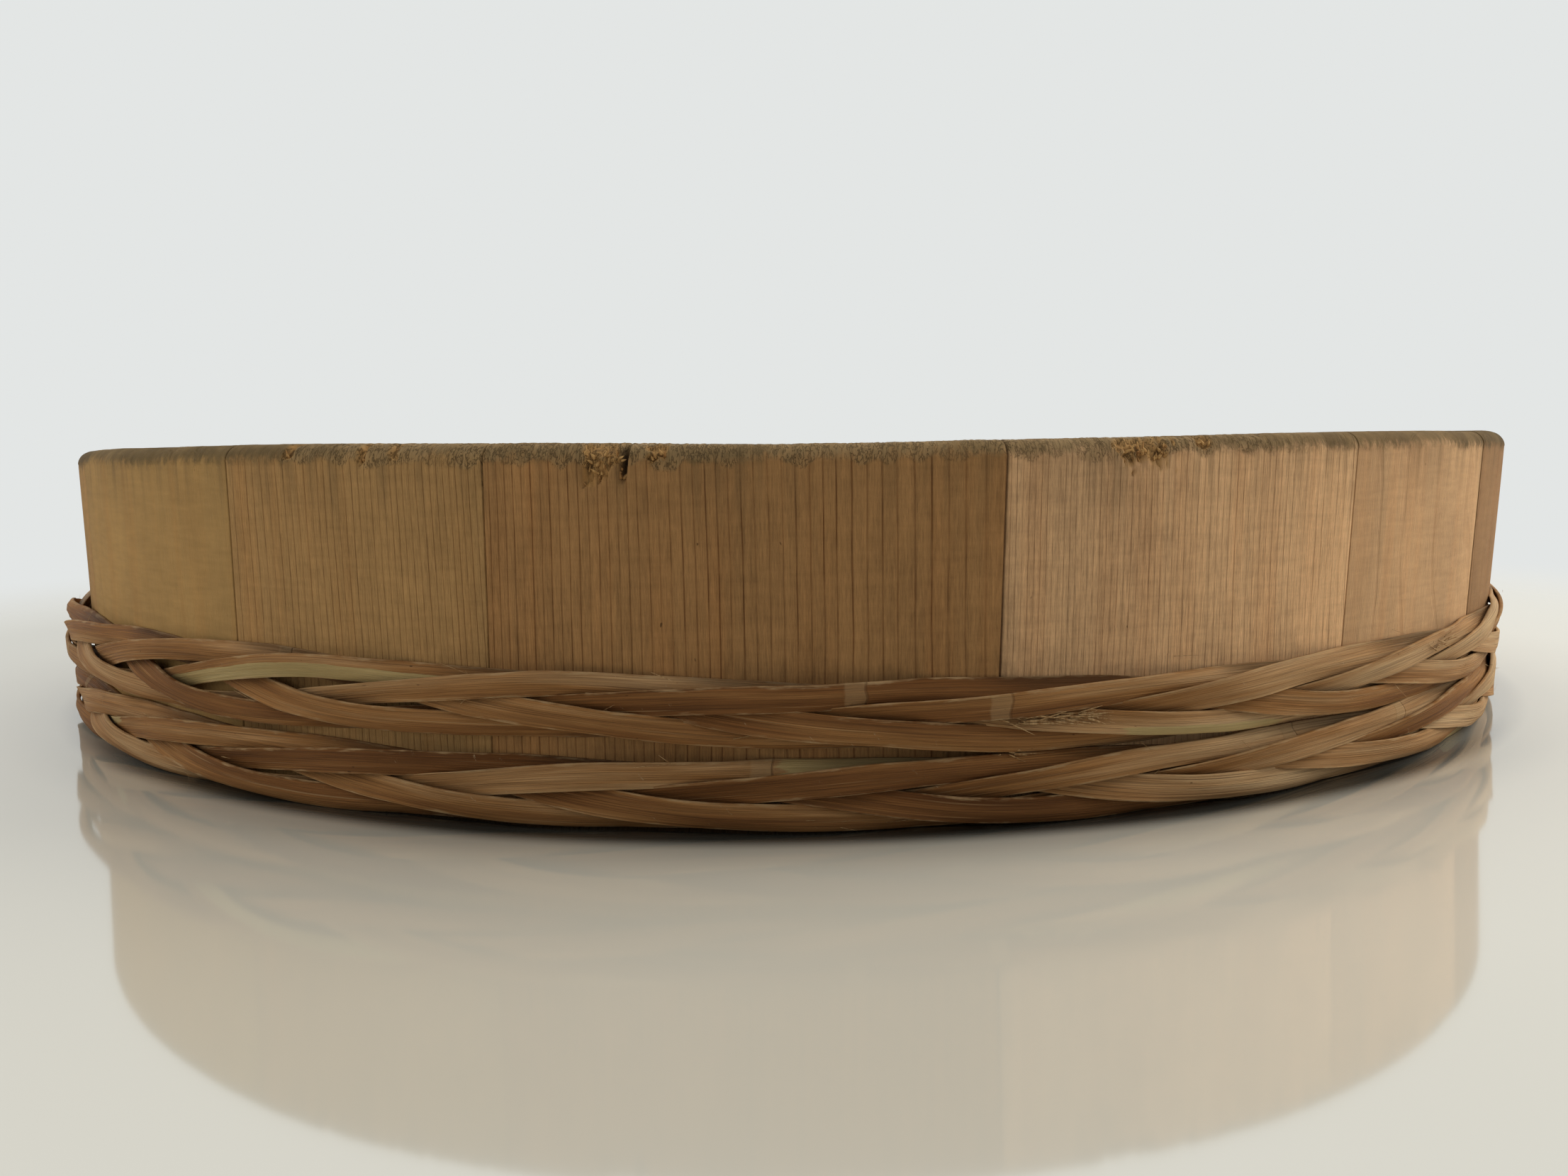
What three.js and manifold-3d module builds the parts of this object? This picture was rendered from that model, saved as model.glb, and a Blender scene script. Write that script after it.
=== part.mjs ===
// A coopered steamer basket: wooden staves stood in a ring, two plaited bamboo hoops driven on
// low down, two bearers let into the staves, and a loose mat of bamboo slats tied with twine.
// Millimetres, +Z up, origin at the centre of the ring on the surface that it stands on.
// Angles are in degrees about +Z, with 0 at the front (-Y) and positive towards +X.
import * as THREE from "three";
import { mergeVertices } from "three/addons/utils/BufferGeometryUtils.js";
import Module from "manifold-3d";

// Driving dimensions: 1 shaku 2 sun across the rim by 2 sun high.
const HEIGHT = 60.6;
const RIM_RADIUS = 182;
const FOOT_RADIUS = 180.6;
const WALL = 12;
const CLEARANCE = 0.3; // left between touching pieces

// Staves: the joints' angles, in order round the ring.
const STAVE_JOINTS = [
  -32.3, -15.2, 10.6, 32.6, 49.7, 70.5, 88.2, 111.4, 128.9,
  148.3, 169.6, 188.4, 213.8, 232.1, 250.6, 268.4, 286.9, 305.3,
];
const STAVE_FACET_ANGLE = 5; // the widest facet on a stave's curved faces
const RIM_OUTER_ROUND = 3;
const RIM_INNER_ROUND = 1.5;
const FOOT_CHAMFER = 0.6;

// Hoops: each is a flat plait of strips that run from edge to edge and back.
const STRIPS = 5;
const ARCS_PER_TURN = 27; // the bows that the strips make along one edge of a hoop
const HOOP_STEPS = 90; // straight steps in one turn of a strip
const STRIP_WIDTH = 4;
const STRIP_THICKNESS = 0.6;
const PLY = 1.1; // from one layer of the plait to the next
const PLAIT_REACH = 4.1; // from the plait's middle to a strip's own middle at its bow
const BOW_FLATNESS = -0.05; // third harmonic of the strips' path
const HOOP_CLEARANCE = 0.35;
const END_GAP = 0.3; // of a step, left between the ends of two strips
const LOWER_HOOP = { middle: 6.9, sway: 0, bowAngle: -1 };
const UPPER_HOOP = { middle: 20.3, sway: 1.1, bowAngle: -5.3 };

// Bearers: two bars from front to back, with their ends let into the staves.
const BEARER_OFFSET = 70;
const BEARER_WIDTH = 22;
const BEARER_BOTTOM = 5;
const BEARER_DEPTH = 12;
const BEARER_END_RADIUS = 174.6;

// Mat: slats across the bearers, cut to a circle, with rows of two twining cords.
const MAT_RADIUS = 165;
const SLATS = 21;
const SLAT_PITCH = 15;
const SLAT_WIDTH = 11;
const SLAT_THICKNESS = 2.6;
const TWINE_ROWS = [
  { x: -115, slats: 15 },
  { x: -45, slats: 21 },
  { x: 45, slats: 21 },
  { x: 115, slats: 15 },
];
const TWINE_SIDE = 1.1;
const TWINE_PAIR_OFFSET = 0.85;

const wood = (color) =>
  new THREE.MeshStandardMaterial({ color, roughness: 0.72, metalness: 0 });
const staveWoods = [0xb08a5c, 0xa5794c, 0xb8925f, 0xc29b6b].map(wood);
const hoopBamboo = wood(0x8a6241);
const bearerWood = wood(0xa98458);
const slatBamboo = wood(0xb59a63);
const twineFibre = new THREE.MeshStandardMaterial({
  color: 0xb9ab8c,
  roughness: 0.95,
  metalness: 0,
});

const wasm = await Module();
wasm.setup();

const group = new THREE.Group();

function addPiece(name, geometry, material) {
  const mesh = new THREE.Mesh(geometry, material);
  mesh.name = name;
  group.add(mesh);
  return mesh;
}

const twoDigits = (number) => String(number).padStart(2, "0");

// The point at an angle round the ring.
function ringPoint(radius, angle, z) {
  const a = THREE.MathUtils.degToRad(angle);
  return new THREE.Vector3(radius * Math.sin(a), -radius * Math.cos(a), z);
}

// Outer radius of the wall at a height: the ring is a little narrower at its foot.
function wallRadius(z) {
  return THREE.MathUtils.mapLinear(z, 0, HEIGHT, FOOT_RADIUS, RIM_RADIUS);
}

// A closed body through a row of convex outlines with the same number of points each, which
// run anticlockwise as seen from the body's start. The second half of an outline is split along
// the mirrored diagonals, so that the two faces of a thin twisted strip keep their distance.
function loft(outlines) {
  const count = outlines[0].length;
  const positions = outlines.flat().flatMap((p) => [p.x, p.y, p.z]);
  const indices = [];
  for (let ring = 0; ring + 1 < outlines.length; ring++) {
    for (let i = 0; i < count; i++) {
      const next = (i + 1) % count;
      const a = ring * count + i;
      const b = ring * count + next;
      if (i < count / 2) indices.push(a, b + count, b, a, a + count, b + count);
      else indices.push(a, a + count, b, b, a + count, b + count);
    }
  }
  const last = (outlines.length - 1) * count;
  for (let i = 1; i + 1 < count; i++) {
    indices.push(0, i, i + 1, last, last + i + 1, last + i);
  }
  const geometry = new THREE.BufferGeometry();
  geometry.setAttribute(
    "position",
    new THREE.Float32BufferAttribute(positions, 3),
  );
  geometry.setIndex(indices);
  geometry.computeVertexNormals();
  return geometry;
}

function toSolid(geometry) {
  const bare = geometry.clone();
  bare.deleteAttribute("normal");
  bare.deleteAttribute("uv");
  const merged = mergeVertices(bare, 1e-4);
  return new wasm.Manifold(
    new wasm.Mesh({
      numProp: 3,
      vertProperties: new Float32Array(merged.attributes.position.array),
      triVerts: new Uint32Array(merged.index.array),
    }),
  );
}

function toGeometry(solid) {
  const mesh = solid.getMesh();
  const geometry = new THREE.BufferGeometry();
  geometry.setAttribute(
    "position",
    new THREE.BufferAttribute(mesh.vertProperties, 3),
  );
  geometry.setIndex(new THREE.BufferAttribute(mesh.triVerts, 1));
  geometry.computeVertexNormals();
  return geometry;
}

// A bar along Y with both ends cut to an arc round the ring's axis, grown all round by `extra`.
function bearerGeometry(x, extra) {
  const low = x - BEARER_WIDTH / 2 - extra;
  const high = x + BEARER_WIDTH / 2 + extra;
  const radius = BEARER_END_RADIUS + extra;
  const outline = new THREE.Shape();
  outline.absarc(0, 0, radius, Math.acos(high / radius), Math.acos(low / radius), false);
  outline.absarc(0, 0, radius, -Math.acos(low / radius), -Math.acos(high / radius), false);
  const geometry = new THREE.ExtrudeGeometry(outline, {
    depth: BEARER_DEPTH + 2 * extra,
    bevelEnabled: false,
    curveSegments: 2,
  });
  return geometry.translate(0, 0, BEARER_BOTTOM - extra);
}

// The outline of a stave's section, from the foot's inner edge round to the rim's inner edge.
function staveProfile() {
  const foot = FOOT_RADIUS;
  const rim = RIM_RADIUS;
  const outer = new THREE.Vector2(rim - RIM_OUTER_ROUND, HEIGHT - RIM_OUTER_ROUND);
  const rounding = [0, 30, 60, 90].map((degrees) => {
    const a = THREE.MathUtils.degToRad(degrees);
    const reach = RIM_OUTER_ROUND;
    return [outer.x + reach * Math.cos(a), outer.y + reach * Math.sin(a)];
  });
  return [
    [foot - WALL, 0],
    [foot - FOOT_CHAMFER, 0],
    [foot, FOOT_CHAMFER],
    ...rounding,
    [rim - WALL + RIM_INNER_ROUND, HEIGHT],
    [rim - WALL, HEIGHT - RIM_INNER_ROUND],
  ];
}

function staveGeometry(from, to) {
  const margin = THREE.MathUtils.radToDeg(CLEARANCE / 2 / FOOT_RADIUS);
  const facets = Math.ceil((to - from) / STAVE_FACET_ANGLE);
  const profile = staveProfile();
  const outlines = [];
  for (let i = 0; i <= facets; i++) {
    const angle = THREE.MathUtils.lerp(from + margin, to - margin, i / facets);
    outlines.push(profile.map(([radius, z]) => ringPoint(radius, angle, z)));
  }
  return loft(outlines);
}

function addStaves() {
  const pockets = toSolid(bearerGeometry(-BEARER_OFFSET, CLEARANCE)).add(
    toSolid(bearerGeometry(BEARER_OFFSET, CLEARANCE)),
  );
  STAVE_JOINTS.forEach((from, i) => {
    const to = STAVE_JOINTS[i + 1] ?? STAVE_JOINTS[0] + 360;
    const cut = toSolid(staveGeometry(from, to)).subtract(pockets);
    const material = staveWoods[i % staveWoods.length];
    addPiece(`stave_${twoDigits(i + 1)}`, toGeometry(cut), material);
  });
}

function addBearers() {
  addPiece("bearer_left", bearerGeometry(-BEARER_OFFSET, 0), bearerWood);
  addPiece("bearer_right", bearerGeometry(BEARER_OFFSET, 0), bearerWood);
}

// Where a strip is along its path: 0 at a bow on the top edge, 0.5 at one on the bottom edge.
function plaitPhase(hoop, strip, angle) {
  const turns = (ARCS_PER_TURN * (angle - hoop.bowAngle)) / 360;
  return (2 * Math.PI * (turns + strip)) / STRIPS;
}

// The plait's layers: each strip goes under two others and then over two. The first sum moves
// the whole strip in and out, the second one tips its edges (side is 1 at its upper edge).
function layer(phase, side) {
  const depth = 1.22 * Math.sin(2 * phase) - 0.27 * Math.sin(4 * phase);
  const tip = 0.49 * Math.sin(phase) + 0.08 * Math.sin(3 * phase) + 0.49 * Math.sin(5 * phase);
  return 1.39 - depth - side * tip;
}

function stripOutline(hoop, strip, angle) {
  const phase = plaitPhase(hoop, strip, angle);
  const path = (Math.cos(phase) + BOW_FLATNESS * Math.cos(3 * phase)) / (1 + BOW_FLATNESS);
  const sway = hoop.sway * Math.sin(THREE.MathUtils.degToRad(3 * angle));
  const middle = hoop.middle - sway + PLAIT_REACH * path;
  const corner = (side, depth) => {
    const z = middle + (side * STRIP_WIDTH) / 2;
    const inside = wallRadius(z) + HOOP_CLEARANCE + PLY * layer(phase, side);
    return ringPoint(inside + depth, angle, z);
  };
  return [corner(-1, 0), corner(-1, STRIP_THICKNESS), corner(1, STRIP_THICKNESS), corner(1, 0)];
}

// The step at the back of the ring where a strip starts; each starts one bow before the last.
function firstStep(strip) {
  return Math.round(HOOP_STEPS / 2 - (strip * HOOP_STEPS) / ARCS_PER_TURN);
}

// A strip runs on until it meets the start of the strip whose path it has come round to.
function stripGeometry(hoop, strip) {
  const following = (strip + (ARCS_PER_TURN % STRIPS)) % STRIPS;
  const first = firstStep(strip);
  const last = firstStep(following) + HOOP_STEPS;
  const outlineAt = (step) => stripOutline(hoop, strip, (360 * step) / HOOP_STEPS);
  const outlines = [];
  for (let step = first; step < last; step++) outlines.push(outlineAt(step));
  const end = outlineAt(last);
  const before = outlines[outlines.length - 1];
  outlines.push(end.map((point, i) => point.lerp(before[i], END_GAP)));
  return loft(outlines);
}

function addHoop(name, hoop) {
  for (let strip = 0; strip < STRIPS; strip++) {
    addPiece(`${name}_strip_${strip + 1}`, stripGeometry(hoop, strip), hoopBamboo);
  }
}

const matBottom = BEARER_BOTTOM + BEARER_DEPTH + CLEARANCE;

function slatGeometry(y) {
  const near = y - SLAT_WIDTH / 2;
  const far = y + SLAT_WIDTH / 2;
  const nearEnd = Math.sqrt(MAT_RADIUS ** 2 - near ** 2);
  const farEnd = Math.sqrt(MAT_RADIUS ** 2 - far ** 2);
  const outline = new THREE.Shape([
    new THREE.Vector2(-nearEnd, near),
    new THREE.Vector2(nearEnd, near),
    new THREE.Vector2(farEnd, far),
    new THREE.Vector2(-farEnd, far),
  ]);
  const geometry = new THREE.ExtrudeGeometry(outline, {
    depth: SLAT_THICKNESS,
    bevelEnabled: false,
  });
  return geometry.translate(0, 0, matBottom);
}

// One cord of a row: over and under the slats by turns, starting over when `over` is true.
function twineGeometry(x, slats, over) {
  const half = TWINE_SIDE / 2;
  const lift = half + CLEARANCE;
  const margin = SLAT_WIDTH / 2 + 0.4;
  const outlines = [];
  for (let i = 0; i < slats; i++) {
    const y = (i - (slats - 1) / 2) * SLAT_PITCH;
    const isOver = (i % 2 === 0) === over;
    const z = isOver ? matBottom + SLAT_THICKNESS + lift : matBottom - lift;
    for (const end of [y - margin, y + margin]) {
      outlines.push([
        new THREE.Vector3(x - half, end, z - half),
        new THREE.Vector3(x + half, end, z - half),
        new THREE.Vector3(x + half, end, z + half),
        new THREE.Vector3(x - half, end, z + half),
      ]);
    }
  }
  return loft(outlines);
}

function addMat() {
  for (let i = 0; i < SLATS; i++) {
    const y = (i - (SLATS - 1) / 2) * SLAT_PITCH;
    addPiece(`mat_slat_${twoDigits(i + 1)}`, slatGeometry(y), slatBamboo);
  }
  TWINE_ROWS.forEach(({ x, slats }, row) => {
    const left = twineGeometry(x - TWINE_PAIR_OFFSET, slats, true);
    const right = twineGeometry(x + TWINE_PAIR_OFFSET, slats, false);
    addPiece(`mat_twine_${row + 1}a`, left, twineFibre);
    addPiece(`mat_twine_${row + 1}b`, right, twineFibre);
  });
}

addStaves();
addHoop("lower_hoop", LOWER_HOOP);
addHoop("upper_hoop", UPPER_HOOP);
addBearers();
addMat();

export default group;
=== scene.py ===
"""Looks of a coopered steamer basket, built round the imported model.

Lengths are in millimetres and angles in degrees, unless a name says otherwise; make_piece and
place turn them into Blender's metres. Angles run about +Z, with 0 at the front (-Y) and positive
towards +X, as in the model.
"""
import math

import bpy
import numpy as np
from mathutils import Matrix, Vector


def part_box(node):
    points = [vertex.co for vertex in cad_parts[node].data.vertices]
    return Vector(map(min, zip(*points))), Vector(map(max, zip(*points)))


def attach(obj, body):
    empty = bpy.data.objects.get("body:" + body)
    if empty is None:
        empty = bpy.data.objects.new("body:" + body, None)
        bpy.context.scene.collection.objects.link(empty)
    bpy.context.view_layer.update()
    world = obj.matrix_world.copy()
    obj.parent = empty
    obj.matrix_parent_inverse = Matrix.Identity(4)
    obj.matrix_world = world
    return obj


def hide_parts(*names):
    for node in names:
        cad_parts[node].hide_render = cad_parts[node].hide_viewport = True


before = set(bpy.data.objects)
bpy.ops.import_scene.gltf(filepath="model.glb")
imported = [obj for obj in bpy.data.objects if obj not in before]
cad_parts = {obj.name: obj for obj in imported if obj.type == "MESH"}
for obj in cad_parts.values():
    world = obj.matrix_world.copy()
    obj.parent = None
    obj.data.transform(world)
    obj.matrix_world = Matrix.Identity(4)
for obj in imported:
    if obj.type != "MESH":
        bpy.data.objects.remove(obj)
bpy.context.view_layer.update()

METRE = 1000.0

# ---------------------------------------------------------------- sizes, read from the frame
FOOT_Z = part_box("stave_01")[0].z * METRE
RIM_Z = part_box("stave_01")[1].z * METRE


def node_points(node):
    """The corners of a CAD node, as an array in millimetres."""
    return np.array([v.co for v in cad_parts[node].data.vertices]) * METRE


def polar(points):
    """(angle, radius) of points about the ring's axis."""
    angle = np.degrees(np.arctan2(points[:, 0], -points[:, 1]))
    return angle, np.hypot(points[:, 0], points[:, 1])


def turned(angle):
    """The same angle from -180 to 180."""
    return (angle + 180) % 360 - 180


def stave_span(node):
    """(first angle, last angle) of a stave, the last one above the first."""
    points = node_points(node)
    middle = points[:, :2].mean(axis=0)
    centre = math.degrees(math.atan2(middle[0], -middle[1]))
    angle, _ = polar(points)
    offset = turned(angle - centre)
    return centre + offset.min(), centre + offset.max()


STAVES = [n for n in sorted(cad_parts) if n.startswith("stave_")]
SLATS = [n for n in sorted(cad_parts) if n.startswith("mat_slat_")]
_, stave_radii = polar(node_points(STAVES[0]))
RIM_RADIUS = stave_radii.max()
TAPER = 1.9  # how much less the radius is at the foot than at the rim
FOOT_RADIUS = RIM_RADIUS - TAPER
WALL = FOOT_RADIUS - stave_radii.min()

# ---------------------------------------------------------------- the plait, as in the model
STRIPS = 5
ARCS_PER_TURN = 27
HOOP_STEPS = 90
PLY = 1.1
BOW_FLATNESS = -0.05
HOOP_CLEARANCE = 0.35
MODEL_STRIP_WIDTH = 4.0


def bulge_stations(left):
    """(angle, bulge) of a hoop: one bulge at the left, and a small one in front."""
    return [(-180, 0.0), (-96, 0.0), (-66, left), (-36, 0.0), (-10, 0.0), (12, 0.5), (34, 0.0), (180, 0.0)]


# middle and reach: (angle, height of the plait's middle) and (angle, how far a strip's middle
# swings above and below it); bulge: how much further than elsewhere the plait stands off the wall.
# The hoops were pushed down by hand, unevenly.
HOOPS = {
    "lower_hoop": {
        "middle": [(-180, 6.3), (-70, 6.1), (-30, 6.1), (30, 5.9), (70, 6.1), (180, 6.3)],
        "reach": [(-180, 3.8), (-30, 3.9), (10, 3.6), (60, 3.8), (180, 3.8)],
        "bulge": bulge_stations(0.6),
        "bow_angle": -1.0, "seed": 3},
    "upper_hoop": {
        "middle": [
            (-180, 19.6), (-75, 19.6), (-32, 19.9), (-12, 20.1), (3, 18.5), (12, 17.5),
            (30, 17.4), (50, 18.0), (66, 18.8), (100, 19.6), (180, 19.6)],
        "reach": [
            (-180, 4.1), (-48, 4.4), (-30, 4.8), (-12, 3.5), (10, 3.5), (32, 3.9), (60, 4.2), (180, 4.1)],
        "bulge": bulge_stations(1.7),
        "bow_angle": -5.3, "seed": 8},
}
# The ring leans a little: its foot lies this far towards -X of its rim.
LEAN = 1.1


def wall_radius(z):
    """Outer radius of the wall at a height."""
    return FOOT_RADIUS + (RIM_RADIUS - FOOT_RADIUS) * (z - FOOT_Z) / (RIM_Z - FOOT_Z)


# ---------------------------------------------------------------- numeric helpers
def smooth(value, low, high):
    """0 below low, 1 above high, and a smooth rise between them."""
    t = np.clip((value - low) / (high - low), 0, 1)
    return t * t * (3 - 2 * t)


def value_noise(x, y, seed):
    """Smooth noise from -1 to 1 with one random value at each whole x and y."""
    table = np.random.default_rng(seed).uniform(-1, 1, (256, 256))
    x, y = np.broadcast_arrays(np.asarray(x, float), np.asarray(y, float))
    column, row = np.floor(x).astype(int), np.floor(y).astype(int)
    fx, fy = x - column, y - row
    fx, fy = fx * fx * (3 - 2 * fx), fy * fy * (3 - 2 * fy)

    def at(dx, dy):
        return table[(column + dx) % 256, (row + dy) % 256]

    low = at(0, 0) * (1 - fx) + at(1, 0) * fx
    high = at(0, 1) * (1 - fx) + at(1, 1) * fx
    return low * (1 - fy) + high * fy


def ring_points(radius, angle, z):
    """Points of the leaning ring."""
    a = np.radians(angle)
    lean = LEAN * (1 - z / RIM_Z)
    return np.stack([radius * np.sin(a) - lean, -radius * np.cos(a), z], axis=-1)


def along_ring(stations, angle):
    """A value that runs smoothly through (angle, value) stations round the ring."""
    at, values = np.array(stations, float).T
    signed = turned(angle)
    place = np.clip(np.searchsorted(at, signed, side="right") - 1, 0, len(at) - 2)
    share = smooth(signed, at[place], at[place + 1])
    return values[place] * (1 - share) + values[place + 1] * share


# ---------------------------------------------------------------- mesh helpers
def loft_faces(rings, count):
    """Faces of a closed body through rings of count points each, capped at both ends."""
    ring = np.arange(rings - 1)[:, None] * count
    a = ring + np.arange(count)[None, :]
    b = ring + (np.arange(count)[None, :] + 1) % count
    sides = np.stack([a, b, b + count, a + count], axis=-1).reshape(-1, 4).tolist()
    last = (rings - 1) * count
    return sides + [list(range(count))[::-1], list(range(last, last + count))]


def make_piece(name, points, faces, material, body, slot, replaces=(), attributes=None):
    """A mesh object that rides on a body. attributes holds one number for each point."""
    mesh = bpy.data.meshes.new(name)
    mesh.from_pydata((points.reshape(-1, 3) / METRE).tolist(), [], faces)
    for key, values in (attributes or {}).items():
        layer = mesh.attributes.new(key, "FLOAT", "POINT")
        layer.data.foreach_set("value", np.asarray(values, np.float32).ravel())
    mesh.materials.append(material)
    mesh.polygons.foreach_set("use_smooth", [True] * len(mesh.polygons))
    if signed_volume(mesh) < 0:
        mesh.flip_normals()
    mesh.update()
    piece = bpy.data.objects.new(name, mesh)
    bpy.context.collection.objects.link(piece)
    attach(piece, body)
    if replaces:
        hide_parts(*replaces)
    return piece


def make_loft(name, points, *rest):
    """A closed piece through rings of points, which come as (rings, points a ring, 3)."""
    return make_piece(name, points, loft_faces(*points.shape[:2]), *rest)


def signed_volume(mesh):
    """Volume of a closed mesh, negative if its faces point inwards."""
    mesh.calc_loop_triangles()
    corners = np.array([t.vertices for t in mesh.loop_triangles])
    points = np.array([v.co for v in mesh.vertices])
    a, b, c = (points[corners[:, i]] for i in range(3))
    return float(np.einsum("ij,ij->i", a, np.cross(b, c)).sum())


# ---------------------------------------------------------------- material helpers
class Shader:
    """A material under construction: each method adds a node and returns its output."""

    def __init__(self, name):
        self.material = bpy.data.materials.new(name)
        self.material.use_nodes = True
        self.nodes = self.material.node_tree.nodes
        self.surface = self.nodes["Principled BSDF"]

    def join(self, value, socket):
        if isinstance(value, bpy.types.NodeSocket):
            self.material.node_tree.links.new(value, socket)
        else:
            socket.default_value = value

    def math(self, operation, first, second=0.0, clamp=False):
        node = self.nodes.new("ShaderNodeMath")
        node.operation = operation
        node.use_clamp = clamp
        self.join(first, node.inputs[0])
        self.join(second, node.inputs[1])
        return node.outputs[0]

    def times(self, first, second, clamp=False):
        return self.math("MULTIPLY", first, second, clamp)

    def total(self, *terms):
        """The sum of (value, weight) pairs."""
        result = 0.0
        for value, weight in terms:
            node = self.nodes.new("ShaderNodeMath")
            node.operation = "MULTIPLY_ADD"
            self.join(value, node.inputs[0])
            self.join(weight, node.inputs[1])
            self.join(result, node.inputs[2])
            result = node.outputs[0]
        return result

    def vector(self, x, y, z=0.0):
        node = self.nodes.new("ShaderNodeCombineXYZ")
        for value, socket in zip((x, y, z), node.inputs):
            self.join(value, socket)
        return node.outputs[0]

    def attribute(self, name):
        node = self.nodes.new("ShaderNodeAttribute")
        node.attribute_name = name
        return node.outputs["Fac"]

    def position(self):
        """(x, y, z) of the surface point at rest, in millimetres."""
        coordinates = self.nodes.new("ShaderNodeTexCoord")
        apart = self.nodes.new("ShaderNodeSeparateXYZ")
        self.join(coordinates.outputs["Object"], apart.inputs[0])
        return [self.math("MULTIPLY", socket, METRE) for socket in apart.outputs]

    def noise(self, vector, scale=1.0, detail=2.0, roughness=0.5):
        node = self.nodes.new("ShaderNodeTexNoise")
        self.join(vector, node.inputs["Vector"])
        node.inputs["Scale"].default_value = scale
        node.inputs["Detail"].default_value = detail
        node.inputs["Roughness"].default_value = roughness
        return node.outputs[0]

    def grain(self, *places, detail=2.0, roughness=0.5):
        """Noise at up to three coordinates, each a (value, scale) pair or a plain number."""
        scaled = [self.times(*p) if isinstance(p, tuple) else p for p in places]
        return self.noise(self.vector(*scaled), 1.0, detail, roughness)

    def step(self, value, low, high, start=0.0, end=1.0):
        """start below low, end above high, and a smooth change between them."""
        node = self.nodes.new("ShaderNodeMapRange")
        node.interpolation_type = "SMOOTHSTEP"
        self.join(value, node.inputs["Value"])
        for key, number in zip(("From Min", "From Max", "To Min", "To Max"), (low, high, start, end)):
            node.inputs[key].default_value = number
        return node.outputs[0]

    def band(self, value, low, high, soft):
        """1 from low to high, fading out over soft on both sides."""
        rise = self.step(value, low - soft, low)
        fall = self.step(value, high, high + soft, 1.0, 0.0)
        return self.math("MULTIPLY", rise, fall)

    def mix(self, factor, first, second, blend="MIX"):
        node = self.nodes.new("ShaderNodeMix")
        node.data_type = "RGBA"
        node.blend_type = blend
        for value, index in ((factor, 0), (first, 6), (second, 7)):
            if isinstance(value, tuple):
                value = (*value, 1.0)
            self.join(value, node.inputs[index])
        return node.outputs[2]

    def ramp(self, factor, stops):
        """A colour ramp through (place, colour) pairs."""
        node = self.nodes.new("ShaderNodeValToRGB")
        elements = node.color_ramp.elements
        while len(elements) < len(stops):
            elements.new(0.5)
        for element, (place, colour) in zip(elements, stops):
            element.position = place
            element.color = (*colour, 1.0)
        self.join(factor, node.inputs[0])
        return node.outputs[0]

    def scaled(self, colour, brightness):
        """The colour times a number that varies over the surface."""
        grey = self.nodes.new("ShaderNodeCombineColor")
        for socket in grey.inputs:
            self.join(brightness, socket)
        return self.mix(1.0, colour, grey.outputs[0], "MULTIPLY")

    def finish(self, colour, roughness, height, depth, specular=0.35):
        """Joins the surface's colour, roughness and relief, depth millimetres deep."""
        self.join(colour, self.surface.inputs["Base Color"])
        self.join(roughness, self.surface.inputs["Roughness"])
        self.surface.inputs["Specular IOR Level"].default_value = specular
        relief = self.nodes.new("ShaderNodeBump")
        relief.inputs["Strength"].default_value = 1.0
        relief.inputs["Distance"].default_value = depth / METRE
        self.join(height, relief.inputs["Height"])
        self.join(relief.outputs[0], self.surface.inputs["Normal"])
        return self.material


# ---------------------------------------------------------------- staves
# How each stave was sawn. spacing: between growth rings; tilt: of the rings to the outer face,
# 90 for rings square to it; widen: growth of the spacing across the stave; lines: how dark the
# rings' late wood is; fibre: how much its fibres show; grade: how much brighter the wood gets
# with each mm across the stave; colour: of the early wood.
SAWN_KEYS = ("spacing", "tilt", "widen", "lines", "fibre", "grade", "colour")
QUARTER_BROWN = (1.9, 84, 0.0045, 0.85, 0.9, 0.0, (0.352, 0.186, 0.071))
QUARTER_TAN = (1.4, 80, -0.006, 0.70, 0.8, 0.0, (0.398, 0.228, 0.088))
QUARTER_PALE = (1.2, 76, 0.004, 0.60, 0.9, 0.0035, (0.635, 0.384, 0.195))
FLAT_YELLOW = (4.6, 12, 0.0, 0.06, 0.25, 0.0, (0.408, 0.242, 0.088))
FLAT_PALE = (3.6, 16, 0.0, 0.16, 0.45, 0.0, (0.550, 0.332, 0.168))
FLAT_BROWN = (3.8, 20, 0.0, 0.20, 0.45, 0.0, (0.310, 0.175, 0.082))
SAWN = [
    QUARTER_TAN, QUARTER_BROWN, QUARTER_PALE, FLAT_PALE, FLAT_BROWN, QUARTER_TAN,
    QUARTER_PALE, FLAT_YELLOW, QUARTER_BROWN, QUARTER_TAN, FLAT_PALE, QUARTER_BROWN,
    QUARTER_PALE, QUARTER_TAN, FLAT_YELLOW, QUARTER_BROWN, QUARTER_TAN, FLAT_YELLOW,
]


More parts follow.
